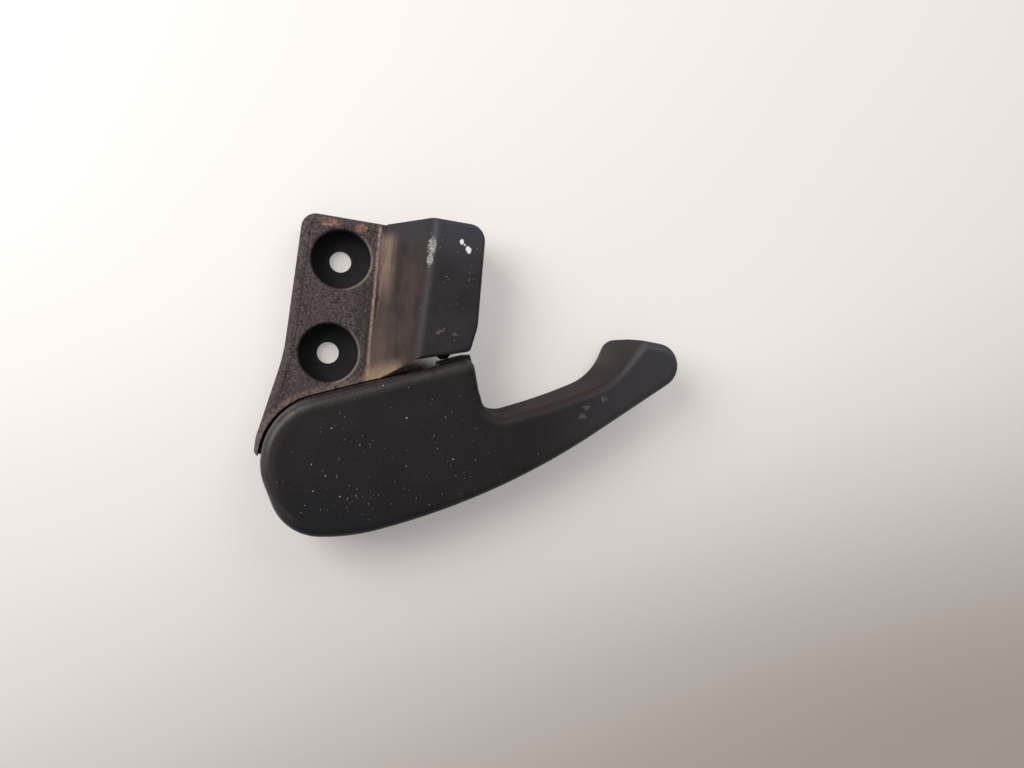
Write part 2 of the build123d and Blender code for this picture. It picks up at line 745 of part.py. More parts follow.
def main():
    """Write one file for each piece."""
    pieces = {
        "bracket": bracket(),
        "pull_lever": pull_lever(),
        "pivot_sleeve": pivot_sleeve(),
        "pivot_washer": pivot_washer(),
        "pivot_screw": pivot_screw(),
        "return_spring": return_spring(),
        "rest_buffer": rest_buffer(),
    }
    os.makedirs("parts", exist_ok=True)
    for name, piece in pieces.items():
        export_step(piece, f"parts/{name}.step")
        print(name, round(piece.volume), "cubic mm")


main()
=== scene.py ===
# %% [markdown]
# # An interior hood release handle
# The real object is two black mouldings. A bracket is screwed to the side of
# the footwell through two deep cups. A hooked lever swings on it and pulls the
# cable that runs under the raised cover. The pieces have their sizes from the
# construction model, so this lesson adds what a camera sees: surfaces with soft
# edges, grain, dust, scuffs, a round spring, and light.

# %% Load the construction model
from math import cos, pi, radians, sin

import bpy
import numpy as np
from mathutils import Matrix, Vector
from mathutils.bvhtree import BVHTree
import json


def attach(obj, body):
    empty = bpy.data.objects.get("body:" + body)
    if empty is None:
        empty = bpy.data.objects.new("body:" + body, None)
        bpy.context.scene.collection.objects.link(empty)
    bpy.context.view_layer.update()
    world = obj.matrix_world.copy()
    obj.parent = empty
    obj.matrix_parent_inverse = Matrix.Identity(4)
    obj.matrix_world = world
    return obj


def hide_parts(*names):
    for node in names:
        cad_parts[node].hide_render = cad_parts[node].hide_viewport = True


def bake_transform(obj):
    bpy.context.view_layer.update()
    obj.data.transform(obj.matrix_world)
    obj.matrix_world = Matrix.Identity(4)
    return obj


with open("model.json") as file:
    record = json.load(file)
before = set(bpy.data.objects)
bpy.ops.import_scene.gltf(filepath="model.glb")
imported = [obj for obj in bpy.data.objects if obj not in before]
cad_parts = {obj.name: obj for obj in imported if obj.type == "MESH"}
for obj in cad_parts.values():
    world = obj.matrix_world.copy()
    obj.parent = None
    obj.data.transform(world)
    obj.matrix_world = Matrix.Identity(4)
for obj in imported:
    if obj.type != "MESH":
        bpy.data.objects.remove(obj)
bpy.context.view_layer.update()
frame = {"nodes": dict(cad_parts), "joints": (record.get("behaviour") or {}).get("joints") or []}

MM = 0.001

# %% [markdown]
# ## Named places
# Every pattern below, such as a stripe of dust, sits at a place on the object.
# The places are named once, in millimetres from the middle of the two screw
# holes, and the pivot is read from the joint itself.

# %% Places on the bracket and the lever
PLATE_Z = 12.0
COVER_Z = 26.0
RAMP_FOOT_X = 12.9
SHOULDER_X = 26.3
CUP_Y = 15.0
CUP_R = 9.3
LEVER_TOP_Z = 26.0
LEVER_ROUND = 3.0
RECESS_EDGE = 21.6
joint = frame["joints"][0]
PIVOT = Vector(joint["pos_m"])
PIVOT_MM = PIVOT / MM
print("pivot at", [round(v, 2) for v in PIVOT_MM], "mm")

# %% [markdown]
# ## The camera
# The photograph looks almost straight down from 30 cm, leaning a little
# towards the grip. A camera matrix is three directions and a place: the
# columns point right, up and back. Looking direction and up direction are
# enough, because the third follows from a cross product.

# %% Camera
CAMERA_AT = (-3.078, -15.815, 302.862)
CAMERA_LOOK = (0.21308, -0.00337, -0.97703)
CAMERA_UP = (-0.13367, 0.99049, -0.03257)
FOCAL_PX = 900.0
IMAGE_W = 1024
SENSOR = 36.0
NEAREST = 0.01


def camera_matrix(at, look, up):
    """The camera's columns: right = look x up, then up, then the way back, then its place."""
    back = -Vector(look).normalized()
    right = Vector(up).cross(back).normalized()
    true_up = back.cross(right)
    matrix = Matrix((right, true_up, back)).transposed().to_4x4()
    matrix.translation = Vector(at) * MM
    return matrix


camera = bpy.data.objects.new("camera", bpy.data.cameras.new("camera"))
camera.data.sensor_width = SENSOR
camera.data.lens = FOCAL_PX / IMAGE_W * SENSOR
camera.data.clip_start = NEAREST
camera.matrix_world = camera_matrix(CAMERA_AT, CAMERA_LOOK, CAMERA_UP)
bpy.context.scene.collection.objects.link(camera)
bpy.context.scene.camera = camera
print("lens", round(camera.data.lens, 2), "mm")

# %% [markdown]
# ## Helpers
# A material is a tree of small nodes. Written one by one they hide what they
# do, so the few kinds that return often get a short function each. The floor is
# the first to need them, and the two mouldings use the same ones.

# %% Helpers for nodes
def add(tree, kind, inputs=None, **settings):
    """A new node with its settings; each input is a value, or an output socket to link."""
    made = tree.nodes.new(kind)
    for name, value in settings.items():
        setattr(made, name, value)
    for name, value in (inputs or {}).items():
        if isinstance(value, bpy.types.NodeSocket):
            tree.links.new(value, made.inputs[name])
        else:
            made.inputs[name].default_value = value
    return made


def math(tree, operation, a, b=0.0, clamp=False):
    """One sum on two numbers or sockets."""
    return add(tree, "ShaderNodeMath", {0: a, 1: b}, operation=operation, use_clamp=clamp).outputs[0]


def plus(tree, a, b, clamp=False):
    """Two values added."""
    return math(tree, "ADD", a, b, clamp)


def times(tree, *masks):
    """Masks multiplied together."""
    product = masks[0]
    for mask in masks[1:]:
        product = math(tree, "MULTIPLY", product, mask)
    return product


def ramp(tree, value, start, end, low=0.0, high=1.0):
    """A smooth step of a value from low at start to high at end."""
    made = add(tree, "ShaderNodeMapRange", {"Value": value, "From Min": start, "From Max": end,
                                            "To Min": low, "To Max": high}, interpolation_type="SMOOTHSTEP")
    return made.outputs["Result"]


def tint(tree, mask, below, above):
    """The colour above laid over the colour below where the mask is 1."""
    return add(tree, "ShaderNodeMixRGB", {"Fac": mask, "Color1": below, "Color2": above}).outputs["Color"]


def plain(red, green, blue):
    """A colour with its fourth number, which the sockets ask for."""
    return (red, green, blue, 1.0)


def new_material(name):
    """An empty node material and its tree."""
    material = bpy.data.materials.new(name)
    material.use_nodes = True
    material.node_tree.nodes.clear()
    return material, material.node_tree


def surface(tree, inputs):
    """The material's shader with these inputs, linked to its output."""
    shader = add(tree, "ShaderNodeBsdfPrincipled", inputs)
    add(tree, "ShaderNodeOutputMaterial", {"Surface": shader.outputs["BSDF"]})


# %% Helpers for meshes
def grid_mesh(name, points):
    """A mesh from an array of points (rows, columns, 3): each square of neighbours is a face."""
    rows, columns = points.shape[:2]
    index = np.arange(rows * columns).reshape(rows, columns)
    corners = [index[:-1, :-1], index[1:, :-1], index[1:, 1:], index[:-1, 1:]]
    quads = np.stack(corners, axis=-1).reshape(-1, 4)
    mesh = bpy.data.meshes.new(name)
    mesh.from_pydata(points.reshape(-1, 3), [], quads)
    mesh.polygons.foreach_set("use_smooth", np.ones(len(quads), bool))
    mesh.update()
    return mesh


def place_object(name, mesh):
    """An object for a finished mesh, at the origin."""
    made = bpy.data.objects.new(name, mesh)
    bpy.context.scene.collection.objects.link(made)
    return made


# %% [markdown]
# ## Floor and light
# The part lies on a pale table that is bright at the left and falls off
# towards the lower right. One large soft lamp on the left gives the shading:
# its light fades with distance, and it draws a thin bright rim on every left
# edge. A world fills the shadows. The table's colour is also painted darker
# towards the lower right, as painted shade where the lamp's light falls off.
# A faint glow that only the camera and reflections see lifts it towards
# white, except in the narrow gap under the cover, which has to stay dark.

# %% Floor mesh
FLOOR_HALF = 0.9
across = np.linspace(-FLOOR_HALF, FLOOR_HALF, 3)
u, v = np.meshgrid(across, across, indexing="ij")
floor = place_object("floor", grid_mesh("floor", np.stack([u, v, 0 * u], axis=-1)))

# %% Floor tone, with painted shade towards the lower right
FLOOR_TONE = plain(0.690, 0.646, 0.610)
FLOOR_PAINTED_SHADE = plain(0.300, 0.252, 0.212)
MOTTLE = 0.97
MOTTLE_SCALE = 7.0
DIM_LEAN = 0.5
DIM_FROM = 0.05
DIM_TO = 0.25

floor_material, tree = new_material("floor")
place = add(tree, "ShaderNodeTexCoord").outputs["Object"]
parts = add(tree, "ShaderNodeSeparateXYZ", {0: place}).outputs
mottle = add(tree, "ShaderNodeTexNoise", {"Vector": place, "Scale": MOTTLE_SCALE, "Detail": 5.0})
tone = tint(tree, mottle.outputs["Fac"], FLOOR_TONE, plain(*[MOTTLE * c for c in FLOOR_TONE[:3]]))
# Painted shade: the table's colour darkens towards the lower right, where the lamp's light falls off.
dim_way = math(tree, "SUBTRACT", times(tree, parts["X"], DIM_LEAN), parts["Y"])
tone = tint(tree, ramp(tree, dim_way, DIM_FROM, DIM_TO), tone, FLOOR_PAINTED_SHADE)

# %% Floor glow for the camera and reflections only
LIFT_LEFT = 0.13
LIFT_RIGHT = 0.14
LIFT_ALL = 0.13
LIFT_X = (-0.10, 0.12)
LIFT_Y = (-0.13, 0.02)
LIFT_TONE = plain(1.0, 0.945, 0.905)
GAP_AT = (0.030, -0.026, 0.0)
GAP_REACH = 0.017
FLOOR_ROUGH = 0.55

sideways = add(tree, "ShaderNodeMapRange", {"Value": parts["X"], "From Min": LIFT_X[0], "From Max": LIFT_X[1],
                                            "To Min": LIFT_LEFT, "To Max": LIFT_RIGHT}).outputs["Result"]
lift = plus(tree, times(tree, sideways, ramp(tree, parts["Y"], *LIFT_Y)), LIFT_ALL)
from_gap = add(tree, "ShaderNodeVectorMath", {0: place, 1: GAP_AT}, operation="DISTANCE").outputs["Value"]
rays = add(tree, "ShaderNodeLightPath").outputs
seen = math(tree, "MAXIMUM", rays["Is Camera Ray"], rays["Is Glossy Ray"])
lift = times(tree, lift, ramp(tree, from_gap, 0.6 * GAP_REACH, GAP_REACH), seen)
surface(tree, {"Base Color": tone, "Roughness": FLOOR_ROUGH, "Emission Color": LIFT_TONE,
               "Emission Strength": lift})
floor.data.materials.append(floor_material)
print("floor:", len(tree.nodes), "nodes")

# %% Lamps and world
LAMP_AT = (-0.42, 0.16, 0.50)
LAMP_SIZE = 0.42
LAMP_POWER = 3.7
FILL_AT = (0.25, 0.5, 0.55)
FILL_SIZE = 0.5
FILL_POWER = 1.2
LAMP_AIM = (0.03, -0.02, 0.0)
WORLD_TONE = plain(0.85, 0.84, 0.88)
WORLD_STRENGTH = 0.40


def lamp(name, at, size, power):
    """A square soft lamp that faces the object."""
    light = bpy.data.lights.new(name, "AREA")
    light.shape = "SQUARE"
    light.size = size
    light.energy = power
    made = bpy.data.objects.new(name, light)
    made.location = at
    made.rotation_euler = (Vector(LAMP_AIM) - Vector(at)).to_track_quat("-Z", "Y").to_euler()
    bpy.context.scene.collection.objects.link(made)


lamp("window", LAMP_AT, LAMP_SIZE, LAMP_POWER)
lamp("fill", FILL_AT, FILL_SIZE, FILL_POWER)
world = bpy.data.worlds.new("room")
world.use_nodes = True
world.node_tree.nodes["Background"].inputs["Color"].default_value = WORLD_TONE
world.node_tree.nodes["Background"].inputs["Strength"].default_value = WORLD_STRENGTH
bpy.context.scene.world = world
bpy.context.scene.view_settings.view_transform = "Standard"
print("lamps:", LAMP_POWER, "and", FILL_POWER, "watts")

# %% [markdown]
# ## Shared effects as node groups
# Dust, scuffs and specks occur on both mouldings, grain and scratches on one.
# Each takes many nodes, so each is a small node group that is built once. A
# group takes a position in millimetres and gives a mask or a height. The
# material decides which colour, roughness or bump that mask drives.

# %% Group helpers
def group(name, inputs, outputs):
    """A node group with its sockets: name to (kind, default) going in, name to kind coming out."""
    tree = bpy.data.node_groups.new(name, "ShaderNodeTree")
    for label, (kind, default) in inputs.items():
        socket = tree.interface.new_socket(label, in_out="INPUT", socket_type="NodeSocket" + kind)
        if default is not None:
            socket.default_value = default
    for label, kind in outputs.items():
        tree.interface.new_socket(label, in_out="OUTPUT", socket_type="NodeSocket" + kind)
    return tree, tree.nodes.new("NodeGroupInput").outputs


def vector_math(tree, operation, a, b):
    """One sum on two vectors."""
    return add(tree, "ShaderNodeVectorMath", {0: a, 1: b}, operation=operation).outputs[0]


def noise(tree, vector, scale, detail=3.0, rough=0.55):
    """A soft random value between 0 and 1 at each place."""
    return add(tree, "ShaderNodeTexNoise", {"Vector": vector, "Scale": scale, "Detail": detail,
                                            "Roughness": rough}).outputs["Fac"]


def result(tree, **values):
    """The group's output node, with each output linked by its name."""
    add(tree, "NodeGroupOutput", values)


def use(tree, effect, **values):
    """A shared effect placed in a material, with spaces in its socket names written as underscores."""
    made = add(tree, "ShaderNodeGroup", node_tree=effect)
    for name, value in values.items():
        socket = made.inputs[name.replace("_", " ")]
        if isinstance(value, bpy.types.NodeSocket):
            tree.links.new(value, socket)
        else:
            socket.default_value = value
    return made.outputs[0]


# %% Stripe: a band between two places, with a soft edge on each side
stripe, put = group("stripe", {"Value": ("Float", 0.0), "Start": ("Float", 0.0), "Full": ("Float", 1.0),
                               "Fade": ("Float", 2.0), "End": ("Float", 3.0)}, {"Mask": "Float"})
rise = ramp(stripe, put["Value"], put["Start"], put["Full"])
fall = ramp(stripe, put["Value"], put["Fade"], put["End"], 1.0, 0.0)
result(stripe, Mask=times(stripe, rise, fall))

# %% Patch: a ragged spot round a centre, for scuffs, chips and heaps of dust
patch, put = group("patch", {"Vector": ("Vector", None), "Centre": ("Vector", None),
                             "Size": ("Vector", (1, 1, 1)), "Raggedness": ("Float", 0.5),
                             "Grain": ("Float", 1.0)}, {"Mask": "Float"})
away = vector_math(patch, "SUBTRACT", put["Vector"], put["Centre"])
away = vector_math(patch, "DIVIDE", away, put["Size"])
away = add(patch, "ShaderNodeVectorMath", {0: away}, operation="LENGTH").outputs["Value"]
ragged = math(patch, "SUBTRACT", noise(patch, put["Vector"], put["Grain"], 4.0, 0.65), 0.5)
away = plus(patch, away, times(patch, ragged, times(patch, put["Raggedness"], 4.0)))
result(patch, Mask=ramp(patch, away, 1.15, 0.75))

# %% Pebble grain: the small rounded bumps of a textured mould
pebble, put = group("pebble_grain", {"Vector": ("Vector", None), "Pebble Size": ("Float", 0.8)},
                    {"Height": "Float"})
per_mm = math(pebble, "DIVIDE", 1.0, put["Pebble Size"])
warp = add(pebble, "ShaderNodeTexNoise", {"Vector": put["Vector"], "Scale": per_mm, "Detail": 2.0})
warp = add(pebble, "ShaderNodeVectorMath", {0: warp.outputs["Color"], "Scale": 0.55},
           operation="SCALE").outputs[0]
bent = vector_math(pebble, "ADD", put["Vector"], warp)
cells = add(pebble, "ShaderNodeTexVoronoi", {"Vector": bent, "Scale": per_mm, "Smoothness": 0.7},
            feature="SMOOTH_F1").outputs["Distance"]
fine = noise(pebble, put["Vector"], times(pebble, per_mm, 2.6), 3.0)
domes = math(pebble, "SUBTRACT", 1.0, cells)
result(pebble, Height=plus(pebble, times(pebble, domes, 0.75), times(pebble, fine, 0.35)))

# %% Dust: a film that is broken into clouds, streaks and single grains
dust, put = group("dust", {"Vector": ("Vector", None), "Amount": ("Float", 0.5),
                           "Cloud Size": ("Float", 6.0)}, {"Mask": "Float"})
clouds = noise(dust, put["Vector"], math(dust, "DIVIDE", 1.0, put["Cloud Size"]), 5.0, 0.62)
grains = noise(dust, put["Vector"], 4.5, 2.0, 0.7)
mixed = plus(dust, times(dust, clouds, 0.7), times(dust, grains, 0.3))
over = plus(dust, mixed, math(dust, "SUBTRACT", put["Amount"], 1.0))
result(dust, Mask=ramp(dust, over, -0.28, 0.42))

# %% Specks: single pale crumbs, one in some of the cells of a random mesh
specks, put = group("specks", {"Vector": ("Vector", None), "Spacing": ("Float", 3.0),
                               "Share": ("Float", 0.3), "Radius": ("Float", 0.1)}, {"Mask": "Float"})
per_mm = math(specks, "DIVIDE", 1.0, put["Spacing"])
cell = add(specks, "ShaderNodeTexVoronoi", {"Vector": put["Vector"], "Scale": per_mm})
parts = add(specks, "ShaderNodeSeparateColor", {"Color": cell.outputs["Color"]}).outputs
chosen = math(specks, "LESS_THAN", parts[0], put["Share"])
size = math(specks, "DIVIDE", times(specks, put["Radius"], plus(specks, parts[1], 0.4)), put["Spacing"])
inside = add(specks, "ShaderNodeMapRange", {"Value": cell.outputs["Distance"], "From Min": size,
                                            "From Max": times(specks, size, 0.5)}).outputs["Result"]
result(specks, Mask=times(specks, inside, chosen))

# %% Scratches: long thin marks in one direction, with gaps
scratches, put = group("scratches", {"Vector": ("Vector", None), "Turn": ("Float", 0.0),
                                     "Density": ("Float", 0.5)}, {"Mask": "Float"})
turned = add(scratches, "ShaderNodeVectorRotate", {"Vector": put["Vector"], "Angle": put["Turn"]},
             rotation_type="Z_AXIS").outputs["Vector"]
drawn = vector_math(scratches, "MULTIPLY", turned, (0.12, 3.6, 1.0))
lines = noise(scratches, drawn, 1.0, 2.0, 0.5)
gaps = ramp(scratches, noise(scratches, turned, 0.16, 3.0), 0.52, 0.66)
thin = math(scratches, "SUBTRACT", 0.78, times(scratches, put["Density"], 0.1))
result(scratches, Mask=times(scratches, ramp(scratches, lines, thin, 0.82), gaps))
print("effects:", sorted(g.name for g in bpy.data.node_groups))

# %% [markdown]
# ## Finding a face without a picture
# The mouldings have no painted map. The construction model fixes where each
# face lies, so heights and distances in millimetres tell the faces apart. The
# small functions below turn a position into such a distance or mask. All their
# bare numbers are millimetres, or shares between 0 and 1.

# %% Position, direction and masks
def position(tree):
    """The place on the object in millimetres, and its three parts."""
    coordinates = add(tree, "ShaderNodeTexCoord").outputs["Object"]
    place = add(tree, "ShaderNodeVectorMath", {0: coordinates, "Scale": 1 / MM}, operation="SCALE").outputs[0]
    parts = add(tree, "ShaderNodeSeparateXYZ", {0: place}).outputs
    return place, parts["X"], parts["Y"], parts["Z"]


def facing(tree):
    """How far a face looks along each axis: 1 fully, 0 square to it, -1 the other way."""
    normal = add(tree, "ShaderNodeNewGeometry").outputs["Normal"]
    return add(tree, "ShaderNodeSeparateXYZ", {0: normal}).outputs


def blend_value(tree, mask, below, above):
    """The number above where the mask is 1, the number below where it is 0."""
    made = add(tree, "ShaderNodeMapRange", {"Value": mask, "To Min": below, "To Max": above})
    return made.outputs["Result"]


def inverse(tree, mask):
    """What the mask leaves out."""
    return math(tree, "SUBTRACT", 1.0, mask)


def band(tree, value, start, full, fade, end):
    """The stripe group on one value."""
    return use(tree, stripe, Value=value, Start=start, Full=full, Fade=fade, End=end)


def spot(tree, place, centre, size, raggedness=0.5, grain=1.0):
    """The patch group round one place."""
    return use(tree, patch, Vector=place, Centre=centre, Size=size, Raggedness=raggedness, Grain=grain)


def bumped(tree, height, strength, depth):
    """A surface direction tilted by a height, with the depth in millimetres."""
    made = add(tree, "ShaderNodeBump", {"Height": height, "Strength": strength, "Distance": depth * MM})
    return made.outputs["Normal"]


# %% Distance from the lever's head and upper edge
HEAD_TURN = radians(22.0)


def squares_root(tree, a, b):
    """The root of the sum of two squares."""
    return math(tree, "SQRT", plus(tree, times(tree, a, a), times(tree, b, b)))


def head_distance(tree, x, y):
    """How far a place lies from the pivot round the head, and from the edge's middle line beyond it.

    Along the upper edge only the part square to it counts. Behind the pivot both parts count,
    as the root of the sum of their squares, which gives the round of the head.
    """
    dx = math(tree, "SUBTRACT", x, PIVOT_MM.x)
    dy = math(tree, "SUBTRACT", y, PIVOT_MM.y)
    along = plus(tree, times(tree, dx, cos(HEAD_TURN)), times(tree, dy, sin(HEAD_TURN)))
    across = math(tree, "SUBTRACT", times(tree, dy, cos(HEAD_TURN)), times(tree, dx, sin(HEAD_TURN)))
    behind = math(tree, "MINIMUM", along, 0.0)
    return squares_root(tree, across, behind), across


# %% Distance from the axis of the nearer screw cup
def cup_distance(tree, x, y):
    """How far a place lies from the axis of the cup on its side, and its angle round that axis."""
    away = math(tree, "SUBTRACT", y, times(tree, math(tree, "SIGN", y), CUP_Y))
    return squares_root(tree, x, away), math(tree, "ARCTAN2", away, x)


# %% Colours of the plastic and its dirt
COVER_DARK = plain(0.0105, 0.0068, 0.0085)
COVER_WORN = plain(0.0270, 0.0200, 0.0230)
COVER_PAINTED_SKY_SHEEN = plain(0.0360, 0.0350, 0.0450)
PLATE_DARK = plain(0.0190, 0.0125, 0.0135)
PLATE_GREY = plain(0.1320, 0.0890, 0.0800)
PLATE_MAUVE = plain(0.0620, 0.0410, 0.0490)
RAMP_DARK = plain(0.0210, 0.0150, 0.0135)
RAMP_BROWN = plain(0.0480, 0.0320, 0.0255)
RAMP_TOP = plain(0.0300, 0.0260, 0.0300)
SHOULDER_DARK = plain(0.0220, 0.0160, 0.0170)
STEP_PAINTED_LIGHT = plain(0.3000, 0.2400, 0.2200)
CUP_BLACK = plain(0.0045, 0.0036, 0.0046)
CUP_WARM_PAINTED_LIGHT = plain(0.0150, 0.0085, 0.0100)
DUST_TAN = plain(0.2300, 0.1550, 0.1150)
DUST_YELLOW = plain(0.3500, 0.2350, 0.1400)
DUST_PALE = plain(0.3000, 0.2350, 0.1950)
LIP_DUST_AND_HIGHLIGHT = plain(0.3700, 0.2500, 0.1950)
DIRT_BROWN = plain(0.0220, 0.0120, 0.0080)
CHIP_WHITE = plain(0.8000, 0.7900, 0.7600)
CHIP_CREAM = plain(0.5200, 0.4800, 0.4000)
RUST_TAN = plain(0.3000, 0.1550, 0.1000)
CUP_RIM_PAINTED_HIGHLIGHT = plain(0.2100, 0.1750, 0.1450)

# %% [markdown]
# ## The bracket's plastic
# The moulding is one black plastic with several finishes. The plate has a fine
# grain that holds grey-brown dust. The ramp came smooth out of the mould. The
# cover is dark, with a painted bluish sheen towards its top end that stands in
# for the sky's reflection. One material could be painted per face, but the
# finishes meet in soft edges. So there is one material, and each finish is a
# layer over the colour so far.

# %% Masks that tell the bracket's faces apart
bracket_material, tree = new_material("bracket_plastic")
mm, x, y, z = position(tree)
up = facing(tree)["Z"]
upward = ramp(tree, up, 0.15, 0.40)
above_plate = ramp(tree, z, PLATE_Z - 0.9, PLATE_Z - 0.4)
on_plate = times(tree, ramp(tree, z, PLATE_Z + 0.7, PLATE_Z + 0.1),
                 ramp(tree, z, PLATE_Z - 2.4, PLATE_Z - 1.2), upward)
on_slope = times(tree, ramp(tree, x, RAMP_FOOT_X - 1.6, RAMP_FOOT_X - 0.2),
                 ramp(tree, x, SHOULDER_X + 1.2, SHOULDER_X - 1.6), ramp(tree, up, 0.2, 0.4))
on_cover = times(tree, ramp(tree, z, COVER_Z - 1.6, COVER_Z - 0.2), ramp(tree, up, 0.5, 0.9))
cup_away, cup_angle = cup_distance(tree, x, y)
in_cup = times(tree, ramp(tree, cup_away, CUP_R + 0.15, CUP_R - 0.05),
               ramp(tree, z, PLATE_Z, PLATE_Z - 0.5))
lever_away, lever_across = head_distance(tree, x, y)

# %% Patterns that the bracket's layers share
cloudy = use(tree, dust, Vector=mm, Amount=0.5, Cloud_Size=7.0)
broken = noise(tree, mm, 0.9, 4.0, 0.62)
grainy = use(tree, pebble, Vector=mm, Pebble_Size=0.62)
streaks = noise(tree, vector_math(tree, "MULTIPLY", mm, (1.5, 0.16, 0.5)), 0.5, 4.0, 0.55)
blotches = noise(tree, mm, 0.16, 4.0, 0.6)

# %% Cover and ramp
color = tint(tree, cloudy, COVER_DARK, COVER_WORN)
# Painted sheen: the cover's face is painted bluish and lighter towards its top end, as a reflection of the
# sky.
color = tint(tree, times(tree, on_cover, ramp(tree, y, 14.0, 27.0), 0.8), color, COVER_PAINTED_SKY_SHEEN)
slope_mix = times(tree, plus(tree, streaks, blotches), 0.5)
slope_color = tint(tree, ramp(tree, slope_mix, 0.36, 0.62), RAMP_DARK, RAMP_BROWN)
slope_color = tint(tree, ramp(tree, y, 20.5, 25.0), slope_color, RAMP_TOP)
color = tint(tree, on_slope, color, slope_color)

# %% Plate, with its darker foot and painted light on the wall of its step
plate_mix = plus(tree, times(tree, grainy, 0.6), times(tree, broken, 0.5))
plate_color = tint(tree, ramp(tree, plate_mix, 0.46, 0.82), PLATE_DARK, PLATE_GREY)
plate_color = tint(tree, times(tree, ramp(tree, blotches, 0.42, 0.60), 0.55), plate_color, PLATE_MAUVE)
near_foot = times(tree, band(tree, x, 5.0, 8.0, 11.0, 12.0), band(tree, y, -14.0, -7.0, 6.0, 12.0))
near_foot = times(tree, near_foot, ramp(tree, streaks, 0.3, 0.6, 0.15, 0.7))
plate_color = tint(tree, near_foot, plate_color, PLATE_DARK)
color = tint(tree, times(tree, on_plate, inverse(tree, on_slope)), color, plate_color)
# Painted light: the small wall of the plate's step faces away from the lamp, and its shade is painted over in
# a pale colour.
step_wall_painted_light = times(tree, ramp(tree, up, 0.7, 0.4),
                  band(tree, z, PLATE_Z - 0.32, PLATE_Z - 0.28, PLATE_Z + 0.02, PLATE_Z + 0.06),
                  ramp(tree, cup_away, CUP_R + 0.9, CUP_R + 1.2), ramp(tree, x, 11.0, 9.0))
color = tint(tree, step_wall_painted_light, color, STEP_PAINTED_LIGHT)

# %% [markdown]
# ## Dust that has settled
# Dust slides down the ramp and stays at its foot as a tan band. The pale line
# at the foot is partly that dust and partly a painted highlight on the lit bevel
# of the lip. More lies in the corner beside the lever, where no hand reaches. A
# slow noise bends the line a little, because a straight one looks printed. Dust
# lies on faces that look up, so the layers are held back on the walls.

# %% Distance from the line at the ramp's foot
LIP_SLANT = 0.046
LIP_X = 11.95
LIP_WAVE = 0.7
from_lip = math(tree, "SUBTRACT", plus(tree, x, times(tree, y, LIP_SLANT)), LIP_X)
bend = math(tree, "SUBTRACT", noise(tree, mm, 0.25, 3.0), 0.5)
from_lip = plus(tree, from_lip, times(tree, bend, LIP_WAVE))
low_part = times(tree, ramp(tree, z, PLATE_Z + 3.5, PLATE_Z + 2.0), above_plate, upward)

# %% Tan band and pale line
tan_band = times(tree, band(tree, from_lip, 0.4, 1.2, 3.2, 6.6), ramp(tree, y, -2.0, 17.0, 0.08, 1.0),
                 ramp(tree, y, 27.0, 22.5), upward)
color = tint(tree, times(tree, tan_band, ramp(tree, streaks, 0.25, 0.6, 0.45, 0.92)), color, DUST_TAN)
# The pale line is partly settled dust and partly a painted highlight on the lit bevel of the lip.
lip_dust_and_highlight_mask = times(tree, band(tree, from_lip, -0.65, -0.15, 0.2, 0.75), low_part, ramp(tree, y, 28.5, 26.0))
color = tint(tree, times(tree, lip_dust_and_highlight_mask, ramp(tree, broken, 0.30, 0.65, 0.30, 0.85)), color, LIP_DUST_AND_HIGHLIGHT)

# %% Dark dirt beside the line and brown haze on the lower ramp
right_of_line = times(tree, band(tree, from_lip, 0.35, 0.65, 1.0, 1.5), band(tree, y, -13.0, -5.0, 9.0, 16.0))
left_of_line = times(tree, band(tree, from_lip, -1.9, -1.4, -1.0, -0.6), ramp(tree, y, -2.0, -8.0))
dark_line = times(tree, math(tree, "MAXIMUM", right_of_line, left_of_line), low_part,
                  ramp(tree, broken, 0.35, 0.6))
dark_line = math(tree, "MAXIMUM", dark_line, spot(tree, mm, (12.8, 4.2, 12.5), (0.7, 1.1, 2.0), 0.4, 1.2))
color = tint(tree, times(tree, dark_line, 0.75), color, DIRT_BROWN)
brown_haze = times(tree, on_slope, ramp(tree, from_lip, 9.5, 3.0), ramp(tree, y, 4.0, -10.0))
color = tint(tree, times(tree, brown_haze, 0.20), color, DUST_TAN)

# %% Dust in the corner beside the lever
from_edge = math(tree, "SUBTRACT", lever_across, RECESS_EDGE)
foot_edge = plus(tree, from_edge, times(tree, math(tree, "SUBTRACT", broken, 0.5), 5.0))
foot_dust = times(tree, ramp(tree, foot_edge, 6.0, 0.8), band(tree, x, 11.0, 13.0, 20.0, 24.5), upward,
                  above_plate, ramp(tree, broken, 0.3, 0.6, 0.45, 0.85))
color = tint(tree, foot_dust, color, DUST_YELLOW)
past_recess = math(tree, "SUBTRACT", lever_away, RECESS_EDGE)
recess_line = times(tree, band(tree, past_recess, -0.3, 0.05, 0.9, 2.6), on_plate, upward,
                    ramp(tree, x, 26.0, 8.0, 0.3, 1.0), ramp(tree, broken, 0.35, 0.6, 0.15, 0.85), 0.65)
color = tint(tree, recess_line, color, DUST_TAN)

# %% [markdown]
# ## Wear and chips
# A few single marks tell more than a pattern everywhere: two rusty stains above
# the upper cup, a crumbled scuff on the shoulder and white chips on the cover.
# Each is a ragged spot at its own place, so it stays where it is from any side.

# %% Rusty stains and the worn shoulder
dry = inverse(tree, in_cup)
rust = math(tree, "MAXIMUM", spot(tree, mm, (-5.0, 25.9, 12.0), (3.0, 1.5, 3.0), 0.5, 1.3),
            spot(tree, mm, (5.0, 25.6, 12.0), (1.9, 1.5, 3.0), 0.5, 1.3))
color = tint(tree, times(tree, rust, ramp(tree, broken, 0.35, 0.62, 0.10, 0.85), dry), color, RUST_TAN)
streak = spot(tree, mm, (-5.6, 25.2, 12.0), (2.1, 0.35, 2.0), 0.35, 1.5)
color = tint(tree, times(tree, streak, 0.5, dry), color, DUST_PALE)
shoulder_line = times(tree, ramp(tree, up, 0.3, 0.6), 0.5,
                      band(tree, x, SHOULDER_X - 2.4, SHOULDER_X - 0.9, SHOULDER_X - 0.3, SHOULDER_X + 1.0))
color = tint(tree, shoulder_line, color, SHOULDER_DARK)

